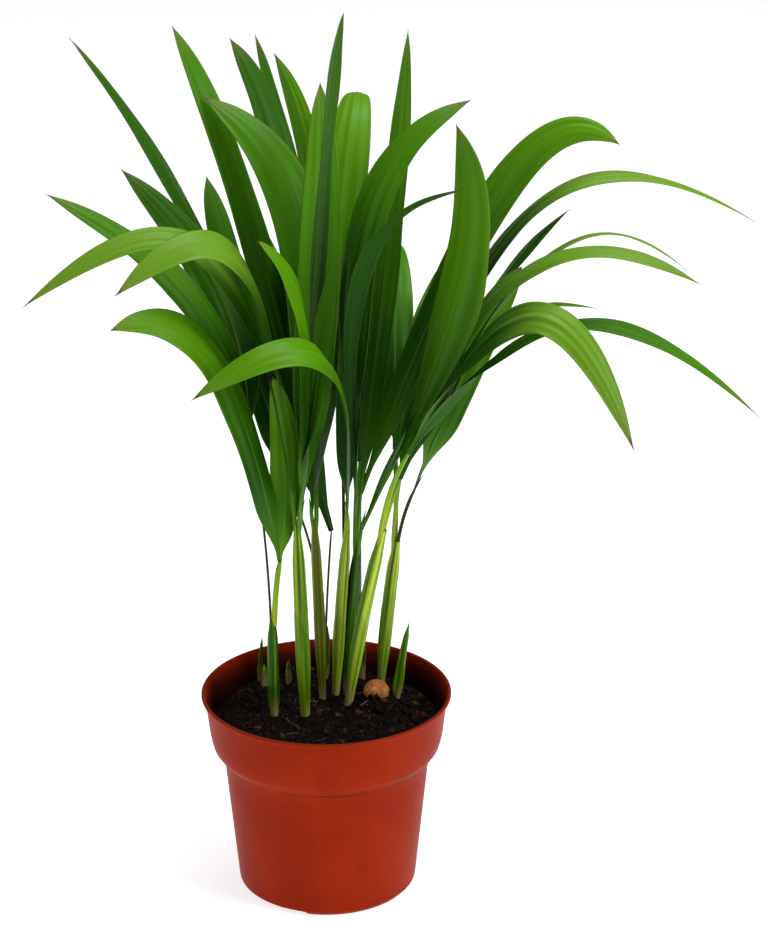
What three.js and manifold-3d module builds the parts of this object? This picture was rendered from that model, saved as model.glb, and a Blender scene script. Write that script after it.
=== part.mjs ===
// A young areca palm in a round nursery pot.
// Millimetres, +Z up. The origin is the centre of the pot's underside, and the
// plant is seen from the front along +Y, with +X to the right.
import * as THREE from 'three';
import { mergeVertices } from 'three/addons/utils/BufferGeometryUtils.js';
import Module from 'manifold-3d';

const wasm = await Module();
wasm.setup();

// Driving dimensions of the pot
const POT_HEIGHT = 100;
const RIM_RADIUS = 60;
const COLLAR_RADIUS = 56;
const COLLAR_FOOT = 73;
const BODY_TOP_RADIUS = 49.2;
const BODY_TOP = 64;
const FOOT_RADIUS = 43;
const FOOT_ROUND = 2.5;
const DRAFT = 1.4;
const STEP_HEIGHT = 5;
const SHOULDER_HEIGHT = 6;
const SHOULDER_INSET = 1.5;
const RIM_BAND = 9;
const WALL = 1.6;
const FLOOR = 3;
const HEEL = 2;
const FOOT_RING_WIDTH = 4.5;
const RECESS = 1.5;
const RECESS_SLOPE = 1;
const PAD_RADIUS = 8;
const DRAIN_RADIUS = 3;
const DRAIN_CIRCLE = 22;
const DRAIN_COUNT = 8;
const DRAIN_SIDES = 12;
const POT_SIDES = 48;

// Driving dimensions of the soil
const SOIL_LEVEL = 89;
const SOIL_DIP = 2.5;
const SOIL_FLAT_RADIUS = 47;
const SOIL_HEEL = 5;
const GAP = 0.3;

// Driving dimensions shared by the stems, stalks and blades
const STEM_SIDES = 8;
const STEM_STEPS = 6;
// Share of its lean that a stem has reached half way up
const STEM_BOW = 0.35;
const STALK_SIDES = 6;
const STALK_STEPS = 6;
const STALK_TAPER = 0.9;
const BLADE_STEPS = 12;
const BLADE_THICKNESS = 2.1;
const BLADE_THINNING = 0.45;
const BLADE_FOLD = 0.16;
const ROOT_WIDTH = 2.6;
const TIP_SIZE = 0.7;

// A lobe curves gently near its base and hooks over towards its tip
const BASE_PULL = 0.6;
const TIP_PULL = 0.85;
// Below 1, this power puts a lobe's widest place nearer its base than its tip
const OUTLINE_POWER = 0.85;
// Over this share of its length a lobe turns from its leaf's common face to its own
const TURN_SHARE = 0.35;
// Where along its length a lobe is compared with its partner
const SPREAD_SHARE = 0.35;

// Lobe: how far its middle and its tip lie from the blade's base, to the right,
// to the back and up, its width, and its roll in degrees
const lobe = (middle, tip, width, roll) => ({ middle, tip, width, roll });

// Stems: where each leaves the soil, where its sheath ends, and its two radii
const STEMS = [
  { name: 'stem_left', foot: [-25, -6], top: [-25, -7, 140], radii: [2.6, 2.6] },
  { name: 'stem_front', foot: [-10, -6], top: [-13, -6, 188], radii: [3.3, 2.9] },
  { name: 'stem_middle', foot: [-2, 14], top: [-5.5, 14, 182], radii: [2.5, 2.4] },
  { name: 'stem_back', foot: [-2, 35], top: [-1, 34, 118], radii: [2.4, 2.3] },
  { name: 'stem_pair_left', foot: [4, 19], top: [10, 17, 176], radii: [2.7, 2.6] },
  { name: 'stem_pair_right', foot: [9.5, 20], top: [15, 18, 168], radii: [2.7, 2.7] },
  { name: 'stem_right', foot: [10, 7], top: [27.5, 2, 182], radii: [2.9, 3.2] },
  { name: 'stem_far_right', foot: [26, 34], top: [34, 30, 165], radii: [2.8, 3.2] },
  { name: 'stem_back_right', foot: [17, 37], top: [15, 38, 140], radii: [2.3, 1.9] },
];

// Fronds: the stem that carries each, where its stalk stands on that stem's
// end, the stalk's radius, the base of its blade, and its two lobes
const FRONDS = [
  {
    name: 'frond_left_low', stem: 'stem_left', seat: [1.1, -0.6], stalk: 1.5, base: [-21, -10, 171],
    lobes: [lobe([-26, -13, 100], [-73, -34, 125], 21, 48), lobe([3, 10, 45], [-3, 20, 85], 15, 0)],
  },
  {
    name: 'frond_left', stem: 'stem_left', seat: [-1.5, 0.9], stalk: 0.9, base: [-35, 6, 230],
    lobes: [lobe([-24, 4, 62], [-92, 10, 112], 17, 32), lobe([-12, 16, 59], [-60, 39, 116], 20, 38)],
  },
  {
    name: 'frond_left_front', stem: 'stem_front', seat: [-1.6, 0], stalk: 1.2, base: [-19, -8, 226],
    lobes: [lobe([-32, -9, 105], [-115, -26, 77], 17, 30), lobe([-15, -29, 100], [-70, -62, 94], 19, 42)],
  },
  {
    name: 'frond_front_bright', stem: 'stem_front', seat: [0.8, -1.4], stalk: 1.2, base: [-9, -15, 215],
    lobes: [lobe([2, -5, 74], [-20, -9, 117], 16, 40), lobe([9, 5, 64], [16, 11, 106], 14, 0)],
  },
  {
    name: 'frond_front_low', stem: 'stem_pair_left', seat: [1.3, -0.6], stalk: 1.2, base: [9, 10, 194],
    lobes: [lobe([-6, -43, 84], [-67, -68, 74], 19, 38), lobe([2, 12, 46], [3, 26, 84], 12, 0)],
  },
  {
    name: 'frond_crown_top', stem: 'stem_front', seat: [0.8, 1.4], stalk: 1.2, base: [-9, -1, 199],
    lobes: [lobe([7, 20, 105], [7, 59, 185], 20, 0), lobe([9, 6, 152], [19, 2, 230], 15, -20)],
  },
  {
    name: 'frond_crown_wide', stem: 'stem_middle', seat: [-1.2, 0], stalk: 1.1, base: [-8, 16, 194],
    lobes: [lobe([-1, 28, 116], [-50, 62, 178], 26, 20), lobe([16, 46, 136], [23, 100, 170], 22, 0)],
  },
  {
    name: 'frond_crown_left', stem: 'stem_middle', seat: [1.2, 0], stalk: 1.1, base: [-5, 32, 206],
    lobes: [lobe([-12, 48, 115], [-42, 86, 185], 18, 0), lobe([1, 50, 102], [-21, 94, 176], 16, 40)],
  },
  {
    name: 'frond_crown_back', stem: 'stem_pair_left', seat: [-1.2, 0.8], stalk: 1.1, base: [7, 45, 222],
    lobes: [lobe([-22, 62, 90], [-43, 104, 164], 12, 60), lobe([4, 62, 72], [5, 96, 95], 18, 0)],
  },
  {
    name: 'frond_left_tall', stem: 'stem_back', seat: [1.1, -0.6], stalk: 0.9, base: [2, 50, 162],
    lobes: [lobe([-58, 9, 142], [-121, 20, 240], 16, 5), lobe([-37, 16, 150], [-75, 46, 240], 16, 25)],
  },
  {
    name: 'frond_crown_right', stem: 'stem_pair_right', seat: [0, 1.5], stalk: 1.1, base: [22, 27, 225],
    lobes: [lobe([9, 21, 95], [17, 51, 179], 16, 30), lobe([59, 0, 119], [113, -8, 139], 18, -60)],
  },
  {
    name: 'frond_front_high', stem: 'stem_pair_right', seat: [-1.3, -0.75], stalk: 1.1, base: [16, 6, 232],
    lobes: [lobe([3, 7, 98], [52, 30, 149], 18, -30), lobe([2, -21, 87], [54, -51, 130], 15, 10)],
  },
  {
    name: 'frond_right_front', stem: 'stem_pair_right', seat: [1.3, -0.75], stalk: 1.1, base: [20, 8, 192],
    lobes: [lobe([36, -23, 107], [41, -20, 190], 25, -70), lobe([62, -22, 116], [148, -48, 124], 16, -15)],
  },
  {
    name: 'frond_right_low', stem: 'stem_right', seat: [0.3, -1.7], stalk: 1.4, base: [39, -12, 226],
    lobes: [lobe([67, -14, 67], [156, -40, 32], 16, -5), lobe([50, -28, 75], [99, -60, 23], 18, -40)],
  },
  {
    name: 'frond_right_middle', stem: 'stem_right', seat: [1.2, 1.3], stalk: 1.4, base: [35, 12, 204],
    lobes: [lobe([62, -4, 107], [131, -8, 105], 15, 12), lobe([17, 8, 62], [38, 36, 104], 15, 0)],
  },
  {
    name: 'frond_right_broad', stem: 'stem_far_right', seat: [1.45, -1], stalk: 1.4, base: [48, 20, 205],
    lobes: [lobe([20, -2, 58], [44, 8, 99], 18, -75), lobe([28, 8, 65], [80, 17, 75], 15, 10)],
  },
  {
    name: 'frond_right_far', stem: 'stem_far_right', seat: [-1.72, -0.15], stalk: 1.2, base: [39, 27, 218],
    lobes: [lobe([59, 9, 113], [162, 15, 103], 17, -5), lobe([35, 11, 64], [75, 9, 111], 16, 0)],
  },
  {
    name: 'frond_back_right', stem: 'stem_far_right', seat: [0.3, 1.72], stalk: 1.2, base: [33, 46, 206],
    lobes: [lobe([16, 30, 53], [30, 72, 76], 18, 0), lobe([0, 38, 61], [-1, 88, 79], 18, 0)],
  },
  {
    name: 'frond_back', stem: 'stem_back_right', seat: [0, 0], stalk: 1.3, base: [16, 56, 196],
    lobes: [lobe([10, 38, 46], [18, 88, 56], 18, 0), lobe([-8, 40, 50], [-20, 90, 66], 18, 0)],
  },
  {
    name: 'frond_back_left', stem: 'stem_back', seat: [-0.6, 1.2], stalk: 0.9, base: [-20, 46, 190],
    lobes: [lobe([-21, 24, 81], [-38, 48, 139], 19, 0), lobe([-5, 36, 69], [-15, 78, 105], 18, 0)],
  },
];

// Seed husk and short new shoots on the soil
const SEED = { at: [24, 8], radius: 6.6, height: 12 };
const SHOOTS = [
  { name: 'shoot_spear', foot: [33, 10], top: [40, 6, 134], radii: [1.6, 0.5] },
  { name: 'shoot_left', foot: [-31, 28], top: [-31, 28, 101], radii: [1.6, 1.2] },
  { name: 'shoot_left_inner', foot: [-19, 31], top: [-19, 31, 102], radii: [1.5, 1.1] },
  { name: 'shoot_left_edge', foot: [-34, 37], top: [-32, 37, 112], radii: [1.3, 0.6] },
];

const potMaterial = new THREE.MeshStandardMaterial({ color: 0xb4502c, roughness: 0.5, metalness: 0 });
const soilMaterial = new THREE.MeshStandardMaterial({ color: 0x24150f, roughness: 0.95, metalness: 0 });
const seedMaterial = new THREE.MeshStandardMaterial({ color: 0xb98045, roughness: 0.8, metalness: 0 });
const stemMaterial = new THREE.MeshStandardMaterial({ color: 0x4f7a22, roughness: 0.5, metalness: 0 });
const leafMaterial = new THREE.MeshStandardMaterial({ color: 0x4c7d1e, roughness: 0.45, metalness: 0 });

const up = new THREE.Vector3(0, 0, 1);
const plant = new THREE.Group();

function addPiece(name, geometry, material) {
  const piece = new THREE.Mesh(geometry, material.clone());
  piece.name = name;
  plant.add(piece);
}

// Closed body from rings of equal length, with a flat cap at both ends. Its two
// halves are split along matching diagonals, so a thin blade keeps its thickness
// where it twists.
function bodyFromRings(rings) {
  const corners = rings[0].length;
  const positions = [];
  for (const ring of rings) {
    for (const point of ring) positions.push(point.x, point.y, point.z);
  }
  const faces = [];
  for (let step = 0; step + 1 < rings.length; step += 1) {
    for (let side = 0; side < corners; side += 1) {
      const here = step * corners + side;
      const next = step * corners + (side + 1) % corners;
      if (2 * side < corners) {
        faces.push(here, next, next + corners, here, next + corners, here + corners);
      } else {
        faces.push(here, next, here + corners, next, next + corners, here + corners);
      }
    }
  }
  const last = (rings.length - 1) * corners;
  for (let side = 1; side + 1 < corners; side += 1) {
    faces.push(0, side + 1, side, last, last + side, last + side + 1);
  }
  const geometry = new THREE.BufferGeometry();
  geometry.setAttribute('position', new THREE.Float32BufferAttribute(positions, 3));
  geometry.setIndex(faces);
  return geometry;
}

function toSolid(geometry) {
  const bare = geometry.clone();
  bare.deleteAttribute('normal');
  bare.deleteAttribute('uv');
  const merged = mergeVertices(bare, 1e-4);
  const vertProperties = new Float32Array(merged.attributes.position.array);
  const triVerts = new Uint32Array(merged.index.array);
  return new wasm.Manifold(new wasm.Mesh({ numProp: 3, vertProperties, triVerts }));
}

function toGeometry(solid) {
  const mesh = solid.getMesh();
  const geometry = new THREE.BufferGeometry();
  geometry.setAttribute('position', new THREE.Float32BufferAttribute(mesh.vertProperties, 3));
  geometry.setIndex(Array.from(mesh.triVerts));
  geometry.computeVertexNormals();
  return geometry;
}

// Lathe around the pot's upright axis, from [radius, height] pairs
function turned(profile, sides) {
  const points = profile.map(([radius, height]) => new THREE.Vector2(radius, height));
  const geometry = new THREE.LatheGeometry(points, sides);
  geometry.rotateX(Math.PI / 2);
  return geometry;
}

// Pot

// Outer wall from the foot to the lip, as [radius, height]
const outerWall = [
  [FOOT_RADIUS - FOOT_ROUND, 0],
  [FOOT_RADIUS - FOOT_ROUND / 3, FOOT_ROUND / 3],
  [FOOT_RADIUS, FOOT_ROUND],
  [BODY_TOP_RADIUS, BODY_TOP],
  [BODY_TOP_RADIUS + DRAFT, COLLAR_FOOT - STEP_HEIGHT],
  [COLLAR_RADIUS - SHOULDER_INSET, COLLAR_FOOT],
  [COLLAR_RADIUS, COLLAR_FOOT + SHOULDER_HEIGHT],
  [COLLAR_RADIUS + DRAFT, POT_HEIGHT - RIM_BAND],
  [RIM_RADIUS, POT_HEIGHT],
];

function wallRadiusAt(height) {
  for (let i = 1; i < outerWall.length; i += 1) {
    const [lowRadius, low] = outerWall[i - 1];
    const [highRadius, high] = outerWall[i];
    if (height <= high) return lowRadius + (highRadius - lowRadius) * (height - low) / (high - low);
  }
  return RIM_RADIUS;
}

function makePot() {
  const underside = [
    [0, 0],
    [PAD_RADIUS, 0],
    [PAD_RADIUS + RECESS_SLOPE, RECESS],
    [FOOT_RADIUS - FOOT_ROUND - FOOT_RING_WIDTH - RECESS_SLOPE, RECESS],
    [FOOT_RADIUS - FOOT_ROUND - FOOT_RING_WIDTH, 0],
  ];
  const innerWall = outerWall.slice(3).reverse().map(([radius, height]) => [radius - WALL, height]);
  const inside = [
    ...innerWall,
    [wallRadiusAt(FLOOR + HEEL) - WALL, FLOOR + HEEL],
    [FOOT_RADIUS - FOOT_ROUND, FLOOR],
    [0, FLOOR],
  ];
  const shell = toSolid(turned([...underside, ...outerWall, ...inside], POT_SIDES));
  const holes = [];
  for (let i = 0; i < DRAIN_COUNT; i += 1) {
    const angle = (i + 0.5) * 2 * Math.PI / DRAIN_COUNT;
    const hole = new THREE.CylinderGeometry(DRAIN_RADIUS, DRAIN_RADIUS, 3 * FLOOR, DRAIN_SIDES);
    hole.rotateX(Math.PI / 2);
    hole.translate(DRAIN_CIRCLE * Math.cos(angle), DRAIN_CIRCLE * Math.sin(angle), 0);
    holes.push(toSolid(hole));
  }
  return toGeometry(holes.reduce((solid, hole) => solid.subtract(hole), shell));
}

addPiece('pot', makePot(), potMaterial);

// Soil

function makeSoil() {
  const clear = WALL + GAP;
  const side = outerWall
    .filter(([, height]) => height > FLOOR + SOIL_HEEL && height < SOIL_LEVEL - SOIL_DIP)
    .map(([radius, height]) => [radius - clear, height]);
  const edge = SOIL_LEVEL - SOIL_DIP;
  return turned([
    [0, FLOOR + GAP],
    [FOOT_RADIUS - FOOT_ROUND - GAP, FLOOR + GAP],
    [wallRadiusAt(FLOOR + SOIL_HEEL) - clear, FLOOR + SOIL_HEEL],
    ...side,
    [wallRadiusAt(edge) - clear, edge],
    [SOIL_FLAT_RADIUS, SOIL_LEVEL],
    [0, SOIL_LEVEL],
  ], POT_SIDES);
}

addPiece('soil', makeSoil(), soilMaterial);

// Seed husk, an egg-shaped ball on the soil

function makeSeed() {
  const geometry = new THREE.SphereGeometry(SEED.radius, 14, 9);
  geometry.rotateX(Math.PI / 2);
  geometry.scale(1, 1, SEED.height / (2 * SEED.radius));
  geometry.translate(SEED.at[0], SEED.at[1], SOIL_LEVEL + GAP + SEED.height / 2);
  return geometry;
}

addPiece('seed', makeSeed(), seedMaterial);

// Stems and shoots: round limbs with level ends

function limb(path, firstRadius, lastRadius, sides, steps) {
  const rings = [];
  for (let step = 0; step <= steps; step += 1) {
    const share = step / steps;
    const centre = path.getPoint(share);
    const along = step === 0 ? up.clone() : path.getTangent(share);
    const across = new THREE.Vector3(1, 0, 0);
    across.addScaledVector(along, -across.dot(along)).normalize();
    const beside = along.clone().cross(across);
    const radius = firstRadius + (lastRadius - firstRadius) * share;
    const ring = [];
    for (let side = 0; side < sides; side += 1) {
      const angle = 2 * Math.PI * side / sides;
      ring.push(centre.clone()
        .addScaledVector(across, radius * Math.cos(angle))
        .addScaledVector(beside, radius * Math.sin(angle)));
    }
    rings.push(ring);
  }
  return bodyFromRings(rings);
}

function stemPath(stem) {
  const foot = new THREE.Vector3(stem.foot[0], stem.foot[1], SOIL_LEVEL + GAP);
  const top = new THREE.Vector3(...stem.top);
  const middle = new THREE.Vector3(
    foot.x + (top.x - foot.x) * STEM_BOW,
    foot.y + (top.y - foot.y) * STEM_BOW,
    (foot.z + top.z) / 2,
  );
  return new THREE.QuadraticBezierCurve3(foot, middle, top);
}

function makeStem(stem) {
  const path = stemPath(stem);
  const [footRadius, topRadius] = stem.radii;
  const geometry = limb(path, footRadius, topRadius, STEM_SIDES, STEM_STEPS);
  const positions = geometry.attributes.position;
  for (let i = positions.count - STEM_SIDES; i < positions.count; i += 1) {
    positions.setZ(i, stem.top[2]);
  }
  return geometry;
}

for (const stem of STEMS) addPiece(stem.name, makeStem(stem), stemMaterial);
for (const shoot of SHOOTS) addPiece(shoot.name, makeStem(shoot), stemMaterial);

// Fronds: a thin stalk, and two pointed lobes that part from one base

function lobeCurve(base, { middle, tip }) {
  const halfway = base.clone().add(new THREE.Vector3(...middle));
  const end = base.clone().add(new THREE.Vector3(...tip));
  const knee = halfway.clone().multiplyScalar(8)
    .addScaledVector(base, 3 * BASE_PULL - 4)
    .addScaledVector(end, 3 * TIP_PULL - 4)
    .divideScalar(3 * (BASE_PULL + TIP_PULL));
  return new THREE.CubicBezierCurve3(
    base,
    base.clone().lerp(knee, BASE_PULL),
    end.clone().lerp(knee, TIP_PULL),
    end,
  );
}

// Share of the full width at a share of the length: quick to widen, pointed at the tip
function lobeOutline(share) {
  return Math.sqrt(Math.sin(Math.PI * share ** OUTLINE_POWER));
}

// Direction across the common base of the two lobes, with the upper face inwards
function sharedAcross(curves, outward) {
  const [first, second] = curves.map((curve) => curve.getPoint(SPREAD_SHARE));
  const along = curves[0].getTangent(0).add(curves[1].getTangent(0)).normalize();
  const across = second.sub(first);
  across.addScaledVector(along, -across.dot(along)).normalize();
  const face = across.clone().cross(along);
  const inward = up.clone().sub(outward);
  return face.dot(inward) < 0 ? across.negate() : across;
}

// Direction across a lobe at a share of its length, once it has turned to its own face
function ownAcross(curve, { tip, roll }, share) {
  const along = curve.getTangent(share);
  const across = new THREE.Vector3(tip[0], tip[1], 0).normalize().cross(up);
  across.addScaledVector(along, -across.dot(along)).normalize();
  return across.applyAxisAngle(along, -THREE.MathUtils.degToRad(roll));
}

function makeLobe(curve, shape, shared) {
  // A lobe turns the shorter way, so it shows its lower face where it would turn too far
  const side = ownAcross(curve, shape, TURN_SHARE).dot(shared) < 0 ? -1 : 1;
  const rings = [];
  for (let step = 0; step <= BLADE_STEPS; step += 1) {
    const share = step / BLADE_STEPS;
    const centre = curve.getPoint(share);
    const along = curve.getTangent(share);
    const own = ownAcross(curve, shape, share).multiplyScalar(side);
    const turn = THREE.MathUtils.smoothstep(share, 0, TURN_SHARE);
    const across = shared.clone().lerp(own, turn);
    across.addScaledVector(along, -across.dot(along)).normalize();
    const normal = across.clone().cross(along);
    let half = shape.width / 2 * lobeOutline(share);
    let thick = BLADE_THICKNESS / 2 * (1 - BLADE_THINNING * share);
    if (step === 0) half = ROOT_WIDTH / 2;
    if (step === BLADE_STEPS) half = thick = TIP_SIZE / 2;
    const fold = -BLADE_FOLD * half;
    rings.push([
      centre.clone().addScaledVector(across, half).addScaledVector(normal, fold),
      centre.clone().addScaledVector(normal, -thick),
      centre.clone().addScaledVector(across, -half).addScaledVector(normal, fold),
      centre.clone().addScaledVector(normal, thick),
    ]);
  }
  return bodyFromRings(rings);
}

function makeFrond(frond) {
  const stem = STEMS.find(({ name }) => name === frond.stem);
  const base = new THREE.Vector3(...frond.base);
  const seat = new THREE.Vector3(
    stem.top[0] + frond.seat[0],
    stem.top[1] + frond.seat[1],
    stem.top[2] + GAP,
  );
  const knee = seat.clone().addScaledVector(up, (base.z - seat.z) * 0.5);
  const stalk = limb(
    new THREE.QuadraticBezierCurve3(seat, knee, base),
    frond.stalk, frond.stalk * STALK_TAPER, STALK_SIDES, STALK_STEPS,
  );
  const curves = frond.lobes.map((each) => lobeCurve(base, each));
  const outward = new THREE.Vector3();
  for (const { tip } of frond.lobes) outward.add(new THREE.Vector3(tip[0], tip[1], 0).normalize());
  const shared = sharedAcross(curves, outward.normalize());
  const lobes = frond.lobes.map((each, i) => toSolid(makeLobe(curves[i], each, shared)));
  return toGeometry(lobes.reduce((solid, each) => solid.add(each), toSolid(stalk)));
}

for (const frond of FRONDS) addPiece(frond.name, makeFrond(frond), leafMaterial);

export default plant;
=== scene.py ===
import math

import bpy
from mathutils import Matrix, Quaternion, Vector


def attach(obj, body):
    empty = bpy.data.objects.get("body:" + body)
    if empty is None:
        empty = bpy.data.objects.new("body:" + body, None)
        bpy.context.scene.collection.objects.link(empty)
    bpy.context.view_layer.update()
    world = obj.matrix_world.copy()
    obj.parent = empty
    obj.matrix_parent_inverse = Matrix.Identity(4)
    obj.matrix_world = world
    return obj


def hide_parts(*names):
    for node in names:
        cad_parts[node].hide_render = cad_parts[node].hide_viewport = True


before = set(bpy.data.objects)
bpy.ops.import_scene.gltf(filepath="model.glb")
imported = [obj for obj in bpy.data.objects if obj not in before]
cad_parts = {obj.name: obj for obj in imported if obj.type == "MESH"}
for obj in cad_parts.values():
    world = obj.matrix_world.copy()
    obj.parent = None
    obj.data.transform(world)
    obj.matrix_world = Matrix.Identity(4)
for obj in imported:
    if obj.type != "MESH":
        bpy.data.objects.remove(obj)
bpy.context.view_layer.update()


# Nursery pot
# An injection-moulded pot of thin terracotta-coloured plastic with a stepped collar,
# a rolled lip, a notched foot and drain holes in its raised floor. It carries everything.

MM = 0.001
POT_HEIGHT = 100 * MM
RIM_RADIUS = 60 * MM
LIP_WIDTH = 1.6 * MM
COLLAR_TOP = 91 * MM
COLLAR_TOP_RADIUS = 57.4 * MM
COLLAR_MIDDLE = 79 * MM
COLLAR_RADIUS = 56 * MM
COLLAR_FOOT = 73 * MM
COLLAR_FOOT_RADIUS = 54.5 * MM
CREASE_HEIGHT = 68.6 * MM
BODY_TOP = 64 * MM
BODY_TOP_RADIUS = 49.2 * MM
FOOT_RADIUS = 43 * MM
FOOT_RING_RADIUS = 36 * MM
PAD_RADIUS = 8 * MM
UNDERSIDE_RISE = 1.5 * MM
POT_WALL = 1.2 * MM
POT_FLOOR = 3 * MM
POT_SIDES = 144
MIDWALL_HEIGHT = 85 * MM
MIDWALL_RADIUS = 56.1 * MM
MIDWALL_FLARE = 0.13
NOTCH_BEARINGS = (-130, -10, 110)
NOTCH_SPREAD = 27
NOTCH_SLOPE = 4
NOTCH_HEIGHT = 2.2 * MM
DRAIN_HOLES = 8
DRAIN_CIRCLE = 22 * MM
DRAIN_RADIUS = 3 * MM
DRAIN_SIDES = 24


class Value:
    """A socket in an expression: each operator adds the Math or Vector Math node for it."""

    def __init__(self, nodes, socket):
        self.nodes = nodes
        self.socket = socket

    def __add__(self, other):
        return self.nodes.maths("ADD", self, other)

    def __radd__(self, other):
        return self.nodes.maths("ADD", other, self)

    def __sub__(self, other):
        return self.nodes.maths("SUBTRACT", self, other)

    def __rsub__(self, other):
        return self.nodes.maths("SUBTRACT", other, self)

    def __mul__(self, other):
        return self.nodes.maths("MULTIPLY", self, other)

    def __rmul__(self, other):
        return self.nodes.maths("MULTIPLY", other, self)

    def __truediv__(self, other):
        return self.nodes.maths("DIVIDE", self, other)

    def __pow__(self, other):
        return self.nodes.maths("POWER", self, other)


class Nodes:
    """A node tree in the making: add() makes any node, maths() the arithmetic ones."""

    def __init__(self, tree):
        self.tree = tree

    def feed(self, node, values):
        """Sets a node's sockets, or links them where the value is a socket itself."""
        for name, value in values.items():
            if isinstance(value, Value):
                self.tree.links.new(value.socket, node.inputs[name])
            else:
                node.inputs[name].default_value = value

    def add(self, kind, settings, values, give=0):
        node = self.tree.nodes.new(kind)
        for name, setting in settings.items():
            setattr(node, name, setting)
        self.feed(node, values)
        return Value(self, node.outputs[give])

    def maths(self, operation, *values):
        def is_wide(value):
            if isinstance(value, Value):
                return value.socket.type in ("VECTOR", "RGBA")
            return isinstance(value, (tuple, Vector))

        if not any(is_wide(value) for value in values):
            return self.add("ShaderNodeMath", {"operation": operation}, dict(enumerate(values)))
        spread = [(value,) * 3 if isinstance(value, (int, float)) else value for value in values]
        give = "Value" if operation in ("DOT_PRODUCT", "LENGTH") else "Vector"
        return self.add("ShaderNodeVectorMath", {"operation": operation}, dict(enumerate(spread)), give)

    def axis(self, vector, name):
        return self.add("ShaderNodeSeparateXYZ", {}, {"Vector": vector}, name)

    def noise(self, place, scale, detail=3, roughness=0.55):
        values = {"Vector": place, "Scale": scale, "Detail": detail, "Roughness": roughness}
        return self.add("ShaderNodeTexNoise", {}, values)

    def smooth(self, value, low, high):
        settings = {"interpolation_type": "SMOOTHSTEP"}
        return self.add("ShaderNodeMapRange", settings, {"Value": value, "From Min": low, "From Max": high})

    def mix(self, share, *colours):
        """Mixes two colours, each a value or a screen colour."""
        first, second = [c if isinstance(c, Value) else linear(c) for c in colours]
        inputs = {"Factor": share, 6: first, 7: second}
        return self.add("ShaderNodeMix", {"data_type": "RGBA"}, inputs, 2)

    def bump(self, height, strength, distance):
        inputs = {"Height": height, "Strength": strength, "Distance": distance}
        return self.add("ShaderNodeBump", {}, inputs)


def linear(colour):
    """A screen colour, red, green and blue from 0 to 255, as the shader's own linear colour."""
    def channel(value):
        share = value / 255
        return share / 12.92 if share <= 0.04045 else ((share + 0.055) / 1.055) ** 2.4
    return (*map(channel, colour), 1)


def new_material(name):
    """A material with one Principled shader; returns it, its nodes and that shader."""
    material = bpy.data.materials.new(name)
    material.use_nodes = True
    return material, Nodes(material.node_tree), material.node_tree.nodes["Principled BSDF"]


def object_place(nodes):
    return nodes.add("ShaderNodeTexCoord", {}, {}, "Object")


def add_mesh(name, vertices, faces, material):
    mesh = bpy.data.meshes.new(name)
    mesh.from_pydata(vertices, [], faces)
    mesh.materials.append(material)
    mesh.shade_smooth()
    piece = bpy.data.objects.new(name, mesh)
    bpy.context.collection.objects.link(piece)
    return piece


def rounded(corners, steps=5):
    """Softens a profile of [radius, height, rounding] corners with short curves."""
    profile = []
    for i, (radius, height, rounding) in enumerate(corners):
        here = Vector((radius, height))
        if rounding == 0:
            profile.append(here)
            continue
        before = Vector(corners[i - 1][:2])
        after = Vector(corners[i + 1][:2])
        first = here + (before - here).normalized() * rounding
        last = here + (after - here).normalized() * rounding
        for step in range(steps + 1):
            share = step / steps
            profile.append(first.lerp(here, share).lerp(here.lerp(last, share), share))
    return profile


def lathe(name, profile, sides, material):
    """A closed body turned round the upright axis, from a profile that starts and ends on it."""
    vertices = []
    for point in profile[1:-1]:
        for side in range(sides):
            angle = 2 * math.pi * side / sides
            vertices.append((point.x * math.cos(angle), point.x * math.sin(angle), point.y))
    faces = []
    rings = len(profile) - 2
    for ring in range(rings - 1):
        for side in range(sides):
            here = ring * sides + side
            beside = ring * sides + (side + 1) % sides
            faces.append((here, beside, beside + sides, here + sides))
    first_pole = len(vertices)
    vertices.append((0, 0, profile[0].y))
    vertices.append((0, 0, profile[-1].y))
    top = (rings - 1) * sides
    for side in range(sides):
        beside = (side + 1) % sides
        faces.append((first_pole, beside, side))
        faces.append((first_pole + 1, top + side, top + beside))
    return add_mesh(name, vertices, faces, material)


CLAY = (146, 34, 1)
CLAY_LIGHT = (159, 42, 3)
FLOW_MARK = (130, 28, 1)
DUST = (196, 92, 50)
CREASE_SHADE = (84, 20, 6)
INSIDE_SHADE_AND_STAIN = (40, 12, 7)
INSIDE_NEAR_RIM = (112, 32, 14)
LIP_SHADE = (112, 40, 20)
FOOT_SOIL = (84, 32, 16)


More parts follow.
